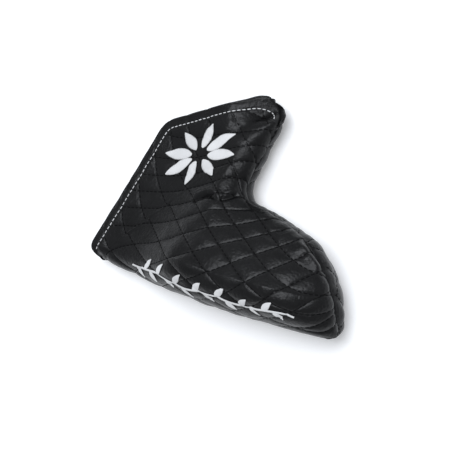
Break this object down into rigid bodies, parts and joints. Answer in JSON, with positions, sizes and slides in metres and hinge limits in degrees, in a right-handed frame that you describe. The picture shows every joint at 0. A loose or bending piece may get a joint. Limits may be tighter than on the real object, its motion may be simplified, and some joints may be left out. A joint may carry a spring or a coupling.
{
  "type": "putter head cover",
  "caption": "Quilted leather-look head cover for a blade putter: a padded boot-shaped sleeve with a deep blade pocket, a short neck and a lip that folds open.",
  "frame": {"origin": "middle of the cover's outline on the surface it lies on, at the tops of the back panel's quilting", "axes": "+X along the sole from heel to toe, +Y up the neck towards the mouth, +Z from the back panel to the front"},
  "size_m": [0.1574, 0.1112, 0.0439],
  "materials": {
    "quilted_leather": "satin, quilted",
    "foam_padding": "open-cell foam",
    "fleece": "short pile",
    "white_thread": "twisted thread",
    "black_thread": "twisted thread",
    "hook_tape": "moulded hooks",
    "loop_tape": "brushed loops"
  },
  "bodies": {
    "pocket": {"back_outer_panel": "quilted_leather", "back_foam_layer": "foam_padding", "back_fleece_lining": "fleece", "front_outer_panel": "quilted_leather", "front_foam_layer": "foam_padding", "front_fleece_lining": "fleece", "loop_tape": "loop_tape", "back_hem_topstitch": "white_thread", "edge_seam_thread": "black_thread"},
    "lip": {"front_lip_panel": "quilted_leather", "front_lip_foam": "foam_padding", "front_lip_lining": "fleece", "hook_tape": "hook_tape", "front_hem_topstitch": "white_thread"}
  },
  "joints": [
    {"name": "front_lip_fold", "type": "hinge", "parent": "pocket", "child": "lip", "pos_m": [-0.03704, -0.002, 0.02008], "axis": [0.6677, 0.7432, 0.0424], "range_deg": [0, 50], "stiffness_Nm_per_rad": 0.005}
  ]
}
